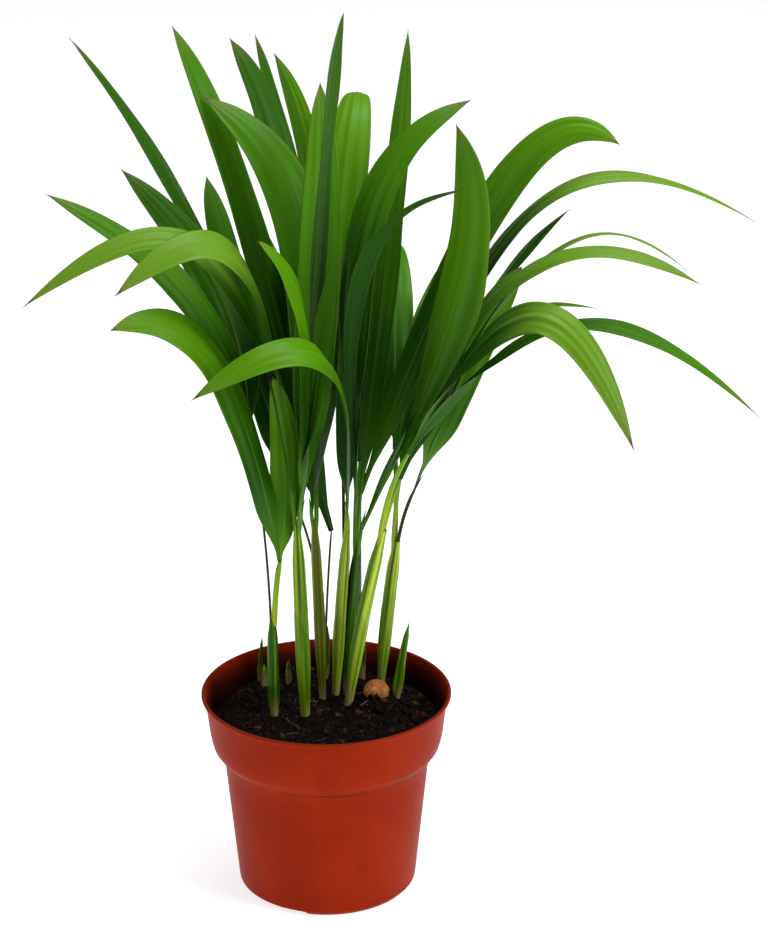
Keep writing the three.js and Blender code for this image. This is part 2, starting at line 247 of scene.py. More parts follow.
def pot_material():
    """Plastic with faint flow marks and dust, painted shade in the crease under the collar, dirt on the
    foot, the lip's top painted darker as shade, and an inside painted dark as shade with soil stain,
    lighter towards the rim, told from the outside by the wall's middle."""
    material, nodes, shader = new_material("terracotta_plastic")
    place = object_place(nodes)
    height = nodes.axis(place, "Z")
    flow = nodes.noise(place * (60, 60, 9), 1, 4)
    cloud = nodes.noise(place, 26, 3)
    scuff = nodes.noise(place * (420, 420, 60), 1, 5, 0.7)
    plain = nodes.mix(nodes.smooth(cloud, 0.3, 0.75), CLAY, CLAY_LIGHT)
    streaked = nodes.mix(nodes.smooth(flow, 0.45, 0.8) * 0.35, plain, FLOW_MARK)
    dusty = nodes.mix(nodes.smooth(scuff, 0.62, 0.78) * 0.1, streaked, DUST)
    # Painted shade: a dark line along the crease under the collar, broken up by the flow noise.
    from_crease = nodes.maths("ABSOLUTE", height - CREASE_HEIGHT + (cloud - 0.5) * 0.5 * MM)
    crease_shade = (1 - nodes.smooth(from_crease, 0.15 * MM, 1.1 * MM)) * nodes.smooth(flow, 0.3, 0.6)
    crease_shaded = nodes.mix(crease_shade * 0.7, dusty, CREASE_SHADE)
    midwall = MIDWALL_RADIUS + (height - MIDWALL_HEIGHT) * MIDWALL_FLARE
    from_midwall = nodes.maths("LENGTH", place * (1, 1, 0)) - midwall
    inner = 1 - nodes.smooth(from_midwall, -0.2 * MM, 0.2 * MM)
    inside = inner * nodes.smooth(height, 82 * MM, 84 * MM)
    # Painted shade with soil stain: the inside is dark deep down; the dry mask only lightens it towards the
    # rim.
    dry = nodes.smooth(height + cloud * 5 * MM, 90 * MM, 103 * MM)
    inside_shaded = nodes.mix(inside, crease_shaded, nodes.mix(dry, INSIDE_SHADE_AND_STAIN, INSIDE_NEAR_RIM))
    # Painted shade: the top of the lip is darkened.
    lip = nodes.smooth(height, POT_HEIGHT - 0.7 * MM, POT_HEIGHT - 0.1 * MM)
    lip_shaded = nodes.mix(lip * 0.6, inside_shaded, LIP_SHADE)
    foot = 1 - nodes.smooth(height, 0, 6 * MM)
    soiled = nodes.mix(foot * nodes.smooth(scuff, 0.4, 0.7) * 0.5, lip_shaded, FOOT_SOIL)
    nodes.feed(shader, {
        "Base Color": soiled,
        "Roughness": 0.4 + nodes.smooth(scuff, 0.45, 0.8) * 0.14 + cloud * 0.06,
        "Normal": nodes.bump(flow * 0.6 + scuff * 0.4, 0.12, 0.4 * MM),
        "Specular IOR Level": 0.04,
    })
    return material


def make_pot():
    """The pot turned from its profile. Each corner is a radius, a height and a rounding, from the
    middle of the underside to the foot, up the outside, over the lip and down the inside."""
    underside = [
        (0, 0, 0),
        (PAD_RADIUS, 0, 0.4 * MM),
        (PAD_RADIUS + 1 * MM, UNDERSIDE_RISE, 0.4 * MM),
        (FOOT_RING_RADIUS - 1 * MM, UNDERSIDE_RISE, 0.4 * MM),
        (FOOT_RING_RADIUS, 0, 0.4 * MM),
    ]
    collar = [
        (COLLAR_FOOT_RADIUS, COLLAR_FOOT, 1.6 * MM),
        (COLLAR_RADIUS, COLLAR_MIDDLE, 2.5 * MM),
        (COLLAR_TOP_RADIUS, COLLAR_TOP, 2 * MM),
    ]
    outside = [
        (FOOT_RADIUS - 2.5 * MM, 0, 0.5 * MM),
        (FOOT_RADIUS, 2.4 * MM, 1.3 * MM),
        (BODY_TOP_RADIUS, BODY_TOP, 2 * MM),
        (BODY_TOP_RADIUS + 0.8 * MM, CREASE_HEIGHT - 1.4 * MM, 0.4 * MM),
        (BODY_TOP_RADIUS + 0.3 * MM, CREASE_HEIGHT - 0.2 * MM, 0.3 * MM),
        (BODY_TOP_RADIUS + 1.6 * MM, CREASE_HEIGHT + 0.5 * MM, 0.4 * MM),
        *collar,
        (RIM_RADIUS - LIP_WIDTH, POT_HEIGHT - 2.4 * MM, 0.7 * MM),
        (RIM_RADIUS, POT_HEIGHT - 1.6 * MM, 0.5 * MM),
        (RIM_RADIUS, POT_HEIGHT, 0.7 * MM),
    ]
    inside = [
        (RIM_RADIUS - LIP_WIDTH, POT_HEIGHT, 0.7 * MM),
        *[(radius - POT_WALL, height, rounding) for radius, height, rounding in reversed(collar)],
        (BODY_TOP_RADIUS - POT_WALL, BODY_TOP, 2 * MM),
        (FOOT_RADIUS - POT_WALL, POT_FLOOR + 2 * MM, 1 * MM),
        (FOOT_RADIUS - 4 * MM, POT_FLOOR, 1 * MM),
        (0, POT_FLOOR, 0),
    ]
    return lathe("pot_shell", rounded(underside + outside + inside), POT_SIDES, pot_material())


def notch_foot(pot):
    """Lifts the foot's ring into a notch at each bearing. Bearing, spread and slope are in degrees."""
    for vertex in pot.data.vertices:
        place = vertex.co
        reach = math.hypot(place.x, place.y)
        if place.z > POT_FLOOR or reach < FOOT_RING_RADIUS - 0.5 * MM or reach > FOOT_RADIUS + 1 * MM:
            continue
        bearing = math.degrees(math.atan2(place.y, place.x))
        apart = min(abs((bearing - notch + 180) % 360 - 180) for notch in NOTCH_BEARINGS)
        share = min(max((NOTCH_SPREAD - apart) / NOTCH_SLOPE, 0), 1)
        low = max(NOTCH_HEIGHT - place.z, 0)
        vertex.co.z += low * share * share * (3 - 2 * share)


def settle(piece):
    """Turns what a piece's modifiers make into its plain mesh."""
    whole = piece.evaluated_get(bpy.context.evaluated_depsgraph_get())
    mesh = bpy.data.meshes.new_from_object(whole)
    piece.modifiers.clear()
    piece.data = mesh


def drill_drain_holes(pot):
    """Cuts a ring of round holes through the floor."""
    vertices = []
    faces = []
    for hole in range(DRAIN_HOLES):
        turn = (hole + 0.5) * math.tau / DRAIN_HOLES
        first = len(vertices)
        for side in range(DRAIN_SIDES):
            angle = math.tau * side / DRAIN_SIDES
            x = DRAIN_CIRCLE * math.cos(turn) + DRAIN_RADIUS * math.cos(angle)
            y = DRAIN_CIRCLE * math.sin(turn) + DRAIN_RADIUS * math.sin(angle)
            vertices += [(x, y, -5 * MM), (x, y, 2 * POT_FLOOR)]
        for side in range(DRAIN_SIDES):
            here = first + 2 * side
            beside = first + 2 * ((side + 1) % DRAIN_SIDES)
            faces.append((here, beside, beside + 1, here + 1))
        faces.append(tuple(first + 2 * side for side in reversed(range(DRAIN_SIDES))))
        faces.append(tuple(first + 2 * side + 1 for side in range(DRAIN_SIDES)))
    drills = add_mesh("drain_drills", vertices, faces, pot.data.materials[0])
    cut = pot.modifiers.new("drain_holes", "BOOLEAN")
    cut.object = drills
    cut.operation = "DIFFERENCE"
    cut.solver = "EXACT"
    bpy.context.view_layer.update()
    settle(pot)
    bpy.data.objects.remove(drills)


pot = make_pot()
notch_foot(pot)
drill_drain_holes(pot)
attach(pot, "root")
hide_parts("pot")


# Potting soil
# Moist dark peat, level but uneven by a few millimetres, strewn with crumbs, bits of bark and
# pale root fibres. It fills the pot and holds the stems.

SOIL_LEVEL = 89 * MM
SOIL_EDGE = 53.2 * MM
SOIL_DIP = 2.5 * MM
SOIL_RINGS = 46
SOIL_SIDES = 120
STREWN_RADIUS = 49 * MM
SEED_PLACE = (24 * MM, 8 * MM)
MOUND_TOP = 5 * MM
MOUND_FOOT = 14 * MM
FULL_TURN = 6.283
PEAT_DARK = (4, 1, 1)


def new_tree(name, **labels_by_kind):
    """A Geometry Nodes tree with named inputs of each kind; returns it, its nodes and the inputs."""
    tree = bpy.data.node_groups.new(name, "GeometryNodeTree")
    tree.interface.new_socket("Geometry", in_out="INPUT", socket_type="NodeSocketGeometry")
    for kind, labels in labels_by_kind.items():
        for label in labels:
            tree.interface.new_socket(label, in_out="INPUT", socket_type="NodeSocket" + kind)
    tree.interface.new_socket("Geometry", in_out="OUTPUT", socket_type="NodeSocketGeometry")
    nodes = Nodes(tree)
    entry = tree.nodes.new("NodeGroupInput")
    given = {socket.name: Value(nodes, socket) for socket in entry.outputs if socket.name}
    return tree, nodes, given


def end_tree(nodes, geometry):
    """Closes a tree: its instances made real, and the result led out."""
    real = nodes.add("GeometryNodeRealizeInstances", {}, {"Geometry": geometry})
    nodes.feed(nodes.tree.nodes.new("NodeGroupOutput"), {"Geometry": real})


def painted(nodes, geometry, material):
    smooth = nodes.add("GeometryNodeSetShadeSmooth", {}, {"Geometry": geometry})
    return nodes.add("GeometryNodeSetMaterial", {}, {"Geometry": smooth, "Material": material})


def joined(nodes, *geometries):
    node = nodes.tree.nodes.new("GeometryNodeJoinGeometry")
    for geometry in geometries:
        nodes.feed(node, {0: geometry})
    return Value(nodes, node.outputs[0])


def position(nodes):
    return nodes.add("GeometryNodeInputPosition", {}, {})


def vector(nodes, x, y, z=0):
    return nodes.add("ShaderNodeCombineXYZ", {}, {"X": x, "Y": y, "Z": z})


def stored(nodes, geometry, **values):
    """Keeps values on a mesh's points by name, for its material to read with attribute()."""
    settings = {"data_type": "FLOAT", "domain": "POINT"}
    for name, value in values.items():
        inputs = {"Geometry": geometry, "Name": name, "Value": value}
        geometry = nodes.add("GeometryNodeStoreNamedAttribute", settings, inputs)
    return geometry


def attribute(nodes, name):
    return nodes.add("ShaderNodeAttribute", {"attribute_name": name}, {}, "Fac")


def apply_tree(piece, tree, sizes):
    """Adds the tree to a piece as a modifier with these sizes."""
    modifier = piece.modifiers.new(tree.name, "NODES")
    modifier.node_group = tree
    for item in tree.interface.items_tree:
        if item.in_out == "INPUT" and item.name in sizes:
            modifier[item.identifier] = sizes[item.name]


def soil_material(name, dark, light, fleck, roughness):
    """Earth from dark to light in lumps, with the palest grains in the fleck colour."""
    material, nodes, shader = new_material(name)
    place = object_place(nodes)
    shade = attribute(nodes, "shade")
    lump = nodes.noise(place, 260, 4, 0.65)
    grain = nodes.noise(place, 1500, 3, 0.7)
    earth = nodes.mix(nodes.smooth(lump * 0.5 + shade * 0.5, 0.35, 0.75), dark, light)
    flecked = nodes.mix(nodes.smooth(grain * 0.35 + shade * 0.65, 0.72, 0.9), earth, fleck)
    nodes.feed(shader, {
        "Base Color": flecked,
        "Roughness": roughness + grain * 0.35,
        "Normal": nodes.bump(lump + grain * 0.5, 0.9, 0.7 * MM),
        "Specular IOR Level": 0.1,
    })
    return material


def make_soil_bed():
    """The body of the soil, clear of the pot's floor and wall, with close rings on its top."""
    underside = POT_FLOOR + 0.4 * MM
    profile = [
        Vector((0, underside)),
        Vector((38 * MM, underside)),
        Vector((BODY_TOP_RADIUS - 2 * MM, BODY_TOP)),
        Vector((COLLAR_FOOT_RADIUS - 1.9 * MM, COLLAR_FOOT)),
        Vector((SOIL_EDGE, SOIL_LEVEL - 6 * MM)),
    ]
    for ring in range(SOIL_RINGS):
        share = 1 - ring / SOIL_RINGS
        profile.append(Vector((SOIL_EDGE * share, SOIL_LEVEL - SOIL_DIP * share ** 6)))
    profile.append(Vector((0, SOIL_LEVEL)))
    peat = soil_material("moist_peat", PEAT_DARK, (22, 9, 6), (58, 32, 22), 0.55)
    return lathe("soil_bed", profile, SOIL_SIDES, peat)


def soil_tree():
    """Makes the top of the soil uneven, heaps it round the seed, and strews it with grit and roots."""
    tree, nodes, given = new_tree(
        "soil_surface", Int=("Seed",), Vector=("Mound place",), Material=("Crumbs", "Fibres"),
        Float=("Hump", "Lump", "Mound", "Crumb size", "Crumb density", "Chip size",
               "Chip density", "Fibre length", "Fibre density"))
    place = position(nodes)
    flat = place * (1, 1, 0)
    top = nodes.smooth(nodes.axis(place, "Z"), SOIL_LEVEL - 5 * MM, SOIL_LEVEL - 2 * MM)
    humps = (nodes.noise(place, 34, 3) - 0.5) * given["Hump"]
    lumpy = humps + (nodes.noise(place, 150, 4) - 0.5) * given["Lump"]
    from_seed = nodes.maths("LENGTH", flat - given["Mound place"])
    rise = lumpy + given["Mound"] * (1 - nodes.smooth(from_seed, MOUND_TOP, MOUND_FOOT))
    reach = nodes.maths("LENGTH", flat)
    inward = 1 - nodes.smooth(reach, STREWN_RADIUS, STREWN_RADIUS + 2 * MM)
    lift = vector(nodes, 0, 0, rise * top)
    bed = nodes.add("GeometryNodeSetPosition", {}, {"Geometry": given["Geometry"], "Offset": lift})
    bed = stored(nodes, bed, shade=nodes.noise(place, 90, 3))

    def drawn(seed, low, high):
        """A random number for each point."""
        limits = {2: low, 3: high, "Seed": given["Seed"] + seed}
        return nodes.add("FunctionNodeRandomValue", {"data_type": "FLOAT"}, limits, 1)

    def strewn(shape, density, seed, smallest, tilt):
        """The shape strewn over the bed, down to the smallest share of its size, leaning up to tilt."""
        points = nodes.add("GeometryNodeDistributePointsOnFaces", {}, {
            "Mesh": bed, "Selection": top * inward - 0.5, "Density": density,
            "Seed": given["Seed"] + seed})
        size = drawn(seed + 1, smallest, 1.0)
        turn = nodes.add("FunctionNodeRandomValue", {"data_type": "FLOAT_VECTOR"}, {
            0: (-tilt, -tilt, 0.0), 1: (tilt, tilt, FULL_TURN), "Seed": given["Seed"] + seed + 2})
        points = stored(nodes, points, shade=drawn(seed + 3, 0.0, 1.0))
        return nodes.add("GeometryNodeInstanceOnPoints", {}, {
            "Points": points, "Instance": shape, "Rotation": turn, "Scale": size * size * (1, 1, 1)})

    def knobbly(size, flatness, subdivisions):
        """A ball pushed out of round and flattened."""
        ball = nodes.add("GeometryNodeMeshIcoSphere", {}, {"Radius": 1.0, "Subdivisions": subdivisions})
        bulge = nodes.noise(position(nodes), 1.3, 2)
        scaled = position(nodes) * (1.0, 0.75, flatness) * (bulge * 1.5 + 0.2)
        return nodes.add("GeometryNodeSetPosition", {}, {"Geometry": ball, "Position": scaled * size})

    crumb = knobbly(given["Crumb size"], 0.7, 1)
    crumbs = strewn(crumb, given["Crumb density"], 0, 0.35, 3.1)
    lump = knobbly(given["Crumb size"] * 1.9, 0.8, 2)
    lumps = strewn(lump, given["Crumb density"] * 0.1, 10, 0.5, 3.1)
    chip = knobbly(given["Chip size"], 0.16, 1)
    chips = strewn(chip, given["Chip density"], 20, 0.45, 0.5)
    line = nodes.add("GeometryNodeCurveQuadraticBezier", {}, {
        "Resolution": 7, "Start": (-0.5, 0.0, 0.0), "Middle": (0.1, 0.35, 0.12), "End": (0.5, -0.08, 0.0)})
    ring = nodes.add("GeometryNodeCurvePrimitiveCircle", {}, {"Resolution": 3, "Radius": 0.022})
    root = nodes.add("GeometryNodeCurveToMesh", {}, {
        "Curve": line, "Profile Curve": ring, "Fill Caps": True})
    root = nodes.add("GeometryNodeTransform", {}, {
        "Geometry": root, "Scale": given["Fibre length"] * (1, 1, 1)})
    roots = strewn(root, given["Fibre density"], 30, 0.4, 0.45)
    grit = painted(nodes, joined(nodes, crumbs, lumps, chips), given["Crumbs"])
    end_tree(nodes, joined(nodes, bed, grit, painted(nodes, roots, given["Fibres"])))
    return tree


soil = make_soil_bed()
apply_tree(soil, soil_tree(), {
    "Hump": 4.5 * MM, "Lump": 2.2 * MM, "Crumb size": 1.5 * MM, "Crumb density": 290000.0,
    "Chip size": 3.2 * MM, "Chip density": 26000.0, "Fibre length": 12 * MM,
    "Fibre density": 42000.0, "Seed": 7, "Mound": 6 * MM, "Mound place": Vector((*SEED_PLACE, 0)),
    "Crumbs": soil_material("peat_crumbs", PEAT_DARK, (34, 14, 9), (100, 58, 38), 0.48),
    "Fibres": soil_material("root_fibres", (30, 16, 13), (92, 66, 56), (156, 132, 116), 0.55),
})
settle(soil)
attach(soil, "root")
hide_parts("soil")


# Seed husk
# The fibrous husk that a seedling still carries: an egg of tan coir that lies between the stems,
# heaped round with soil.

SEED_RADIUS = 6.6 * MM
SEED_HEIGHT = 12 * MM
GAP = 0.3 * MM
HUSK_STEPS = 40
HUSK_SIDES = 56
HUSK_GIRTH = 0.95
HUSK_TWIST = 11
RIDGES = 7
RIDGE_SHARE = 0.025
FINE_RIDGES = 23
FINE_RIDGE_SHARE = 0.012
HUSK_BROWN = (126, 60, 22)
HUSK_TAN = (204, 124, 58)
HUSK_PALE = (228, 162, 92)


def husk_material():
    """Coir threads from brown to tan, paler in patches."""
    material, nodes, shader = new_material("coir_husk")
    place = object_place(nodes)
    thread = nodes.noise(place * (900, 900, 170), 1, 5, 0.7)
    patch = nodes.noise(place, 240, 3)
    tan = nodes.mix(nodes.smooth(thread, 0.3, 0.7), HUSK_BROWN, HUSK_TAN)
    nodes.feed(shader, {
        "Base Color": nodes.mix(nodes.smooth(patch, 0.5, 0.75) * 0.6, tan, HUSK_PALE),
        "Roughness": 0.75,
        "Normal": nodes.bump(thread, 0.8, 0.6 * MM),
    })
    return material


def make_husk():
    """An egg turned about its upright axis, with twisted ridges and finer ones between."""
    middle = SOIL_LEVEL + GAP + SEED_HEIGHT / 2
    profile = []
    for step in range(HUSK_STEPS + 1):
        angle = math.pi * (step / HUSK_STEPS - 0.5)
        height = middle + SEED_HEIGHT / 2 * math.sin(angle)
        profile.append(Vector((SEED_RADIUS * math.cos(angle), height)))
    husk = lathe("seed_husk", profile, HUSK_SIDES, husk_material())
    for vertex in husk.data.vertices:
        bearing = math.atan2(vertex.co.y, vertex.co.x)
        twist = HUSK_TWIST * vertex.co.z / SEED_HEIGHT
        ridge = RIDGE_SHARE * math.sin(RIDGES * bearing + twist)
        ridge += FINE_RIDGE_SHARE * math.sin(FINE_RIDGES * bearing)
        vertex.co.x *= HUSK_GIRTH + ridge
        vertex.co.y *= HUSK_GIRTH + ridge
        vertex.co.x += SEED_PLACE[0]
        vertex.co.y += SEED_PLACE[1]
    return husk


husk = make_husk()
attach(husk, "root")
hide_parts("seed")


# Stems
# Each stem is a bundle of leaf sheaths, folded lengthwise and wrapped one round the next, that
# swells above its thin papery foot. It is streaked lengthwise in dark and yellow green, partly its
# own colour and partly painted shade and painted highlight, and leans from the soil.

STEM_BOW = 0.35
STEM_SINK = 4 * MM
STEM_SIDES = 48
STEM_STEPS = 90
STEM_RIBS = 15
STEM_RIB_DEPTH = 0.012
SHEATH_SLANT = 0.07
SHEATH_STEP = 0.004
PAPER_BROWN = (104, 82, 38)
PAPER_PALE = (196, 186, 116)
GREEN_SPECULAR = 0.16
UP = Vector((0, 0, 1))

# Name, foot on the soil, top, radius at the foot and at the top in millimetres, and skin.
STEMS = [
    ("stem_left", (-25, -6), (-25, -7, 140), (2.6, 2.6), "deep"),
    ("stem_front", (-10, -6), (-13, -6, 188), (3.3, 2.9), "bright"),
    ("stem_middle", (-2, 14), (-5.5, 14, 182), (2.5, 2.4), "russet"),
    ("stem_back", (-2, 35), (-1, 34, 118), (2.4, 2.3), "deep"),
    ("stem_pair_left", (4, 19), (10, 17, 176), (2.7, 2.6), "sunlit"),
    ("stem_pair_right", (9.5, 20), (15, 18, 168), (2.7, 2.7), "deep"),
    ("stem_right", (10, 7), (27.5, 2, 182), (2.9, 3.2), "sunlit"),
    ("stem_far_right", (26, 34), (34, 30, 165), (2.8, 3.2), "sunlit"),
    ("stem_back_right", (17, 37), (15, 38, 140), (2.3, 1.9), "deep"),
]
SHOOTS = [
    ("shoot_spear", (33, 10), (40, 6, 134), (2.7, 1.1), "bright"),
    ("shoot_left", (-31, 28), (-31, 28, 101), (1.6, 1.2), "bright"),
    ("shoot_left_inner", (-19, 31), (-19, 31, 102), (1.5, 1.1), "bright"),
    ("shoot_left_edge", (-34, 37), (-32, 37, 112), (1.3, 0.6), "deep"),
]


def stem_material(name, shade, lit, crease):
    """A green sheath streaked from painted shade to painted highlight, painted darker as shade in its
    folds, and dry at its foot.
    """
    material, nodes, shader = new_material(name)
    place = object_place(nodes)
    along = attribute(nodes, "along")
    bearing = attribute(nodes, "bearing")
    phase = attribute(nodes, "phase")
    height = nodes.axis(place, "Z")
    band = nodes.noise(vector(nodes, bearing * 1.7, along * 0.8, phase), 1, 2)
    thread = nodes.noise(vector(nodes, bearing * 15, along * 2, phase), 1, 4)
    cloud = nodes.noise(place * (150, 150, 40), 1, 3)
    # Painted highlight and shade: lengthwise streaks between the shade and lit colours stand in for light
    # on a glossy stem.
    green = nodes.mix(nodes.smooth(band * 0.65 + thread * 0.35, 0.42, 0.58), shade, lit)
    covered = nodes.mix(attribute(nodes, "sheath") * 0.35, green, shade)
    # Painted shade: the fold valleys are darkened towards the crease colour.
    folded = nodes.mix(attribute(nodes, "fold") * 0.8, covered, crease)
    foot = 1 - nodes.smooth(height + (cloud - 0.5) * 12 * MM, SOIL_LEVEL, SOIL_LEVEL + 13 * MM)
    papery = nodes.mix(nodes.smooth(thread, 0.4, 0.65), PAPER_BROWN, PAPER_PALE)
    nodes.feed(shader, {
        "Base Color": nodes.mix(foot * 0.85, folded, papery),
        "Roughness": 0.32 + thread * 0.16 + foot * 0.25,
        "Normal": nodes.bump(thread, 0.35, 0.3 * MM),
        "Specular IOR Level": GREEN_SPECULAR,
    })
    return material


def unit_rod(nodes, sides, steps):
    """A closed upright rod to be bent into shape; returns it, the place of each point, and how far
    along the rod it lies, from 0 to 1."""
    rod = nodes.add("GeometryNodeMeshCylinder", {"fill_type": "TRIANGLE_FAN"}, {
        "Vertices": sides, "Side Segments": steps, "Fill Segments": 1, "Radius": 1.0, "Depth": 1.0})
    place = position(nodes)
    return rod, place, nodes.axis(place, "Z") + 0.5


def bent(first, middle, last, along):
    """The point so far along a line that leaves first towards middle and comes from there to last."""
    rest = 1 - along
    return first * (rest * rest) + middle * (2 * rest * along) + last * (along * along)


def bearing_of(nodes, place):
    return nodes.maths("ARCTAN2", nodes.axis(place, "Y"), nodes.axis(place, "X"))


def end_growth(nodes, given, growth, place):
    """Closes a tree: the growth is put in its place and skinned, beside what the piece has so far."""
    placed = nodes.add("GeometryNodeSetPosition", {}, {"Geometry": growth, "Position": place})
    end_tree(nodes, joined(nodes, given["Geometry"], painted(nodes, placed, given["Skin"])))


def stem_tree():
    """A rod bent from foot to top. It swells above its foot, is folded and ribbed lengthwise, closes
    at its top, and is a little thicker up to the slanting edge of its outer sheath."""
    tree, nodes, given = new_tree(
        "sheathed_stem", Vector=("Foot", "Bow", "Top"), Material=("Skin",),
        Float=("Foot radius", "Top radius", "Swelling", "Folds", "Fold depth", "Sheath end",
               "Sheath edge", "Turn", "Close"))
    rod, place, along = unit_rod(nodes, STEM_SIDES, STEM_STEPS)
    bearing = bearing_of(nodes, place)
    centre = bent(given["Foot"], given["Bow"], given["Top"], along)
    plain = given["Foot radius"] + (given["Top radius"] - given["Foot radius"]) * along
    swell = nodes.smooth(along, 0.02, 0.36) * 1.3 - 1 - nodes.smooth(along, 0.5, 1.0) * 0.3
    valley = 0.5 - 0.5 * nodes.maths("COSINE", (bearing - given["Turn"]) * given["Folds"])
    fold = valley ** 4 * nodes.smooth(along, 0.08, 0.75)
    end = given["Sheath end"] + SHEATH_SLANT * nodes.maths("COSINE", bearing - given["Turn"])
    sheath = 1 - nodes.smooth(along, end - SHEATH_STEP, end + SHEATH_STEP)
    ribs = nodes.maths("SINE", bearing * STEM_RIBS) * STEM_RIB_DEPTH
    closing = 1 - given["Close"] * nodes.smooth(along, 0.8, 1.0)
    fullness = (1 + given["Swelling"] * swell + ribs) * (1 - given["Fold depth"] * fold) * closing
    radius = plain * fullness + given["Sheath edge"] * sheath
    growth = stored(
        nodes, rod, along=along, bearing=nodes.maths("ABSOLUTE", bearing), fold=fold,
        sheath=sheath, phase=given["Turn"])
    end_growth(nodes, given, growth, centre + place * (1, 1, 0) * radius)
    return tree


def empty_piece(name):
    piece = bpy.data.objects.new(name, bpy.data.meshes.new(name))
    bpy.context.collection.objects.link(piece)
    return piece


# The skins differ partly in the stems' own greens and partly as painted shade and light: deep is a shaded
# copy and sunlit a lit copy.
stem_skins = {
    "deep": stem_material("sheath_deep_green", (18, 54, 2), (84, 136, 8), (8, 32, 2)),
    "bright": stem_material("sheath_bright_green", (40, 92, 2), (150, 188, 22), (16, 54, 2)),
    "sunlit": stem_material("sheath_sunlit_green", (100, 146, 18), (200, 220, 70), (40, 88, 6)),
    "russet": stem_material("sheath_russet_green", (96, 86, 10), (120, 158, 18), (64, 98, 10)),
}
sheathed_stem = stem_tree()
stem_lines = {}
for number, stem in enumerate(STEMS + SHOOTS):
    name, foot_place, top_place, radii, skin = stem
    foot = Vector((*foot_place, 0)) * MM + UP * (SOIL_LEVEL - STEM_SINK)
    top = Vector(top_place) * MM
    bow = foot.lerp(top, STEM_BOW)
    bow.z = (foot.z + top.z) / 2
    stem_lines[name] = (bow, top)
    short = stem in SHOOTS
    piece = empty_piece(name + "_sheaths")
    apply_tree(piece, sheathed_stem, {
        "Foot": foot, "Bow": bow, "Top": top, "Foot radius": radii[0] * MM,
        "Top radius": radii[1] * MM, "Swelling": 0.5 if short else 0.36,
        "Folds": 1.0 if short else 3.0, "Fold depth": 0.3, "Sheath end": 0.45 + 0.05 * (number % 4),
        "Sheath edge": 0.12 * MM, "Turn": 1.1 + 2.4 * number, "Close": 0.9 if short else 0.4,
        "Skin": stem_skins[skin],
    })
    settle(piece)
    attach(piece, "root")
    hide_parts(name)


# Fronds
# Each leaf is a channelled stalk and a thin, pleated blade that is forked nearly to its base
# into two long pointed lobes. The blade is glossy, ribbed lengthwise and brown at its very tips.

STALK_SIDES = 24
STALK_STEPS = 48
STALK_TAPER = 0.9
STALK_SINK = 14 * MM
STALK_GROOVE = 0.34
SPROUT_SHARE = 0.35
WIRY_SHARE = 0.7
LOBE_SIDES = 56
LOBE_STEPS = 84
BLADE_THICKNESS = 0.5 * MM
BLADE_FOLD = 0.16
KEEL_DEPTH = 0.6 * MM
ROOT_WIDTH = 2.6 * MM
BASE_PULL = 0.6
TIP_PULL = 0.85
OUTLINE_POWER = 0.85
POINT_POWER = 28
WEDGE_START = -0.03
WAVES_ALONG = 17
PLEAT_SHARE = 0.03
TURN_SHARE = 0.35
SPREAD_SHARE = 0.35
LEAF_RIB = (136, 170, 66)
LEAF_EDGE_LIGHT = (150, 170, 60)
LEAF_FADED = (132, 120, 70)
LEAF_DRY = (104, 74, 48)
LEAF_GLOW = (104, 176, 4)


def lobe(middle, tip, width, roll, skin, waist=0.13):
    """How far a lobe's middle and tip lie from the blade's base, its width, its roll in degrees,
    its skin, and the share of its length at which it has grown wide."""
    return {
        "middle": Vector(middle) * MM, "tip": Vector(tip) * MM, "width": width * MM,
        "roll": roll, "skin": skin, "waist": waist,
    }


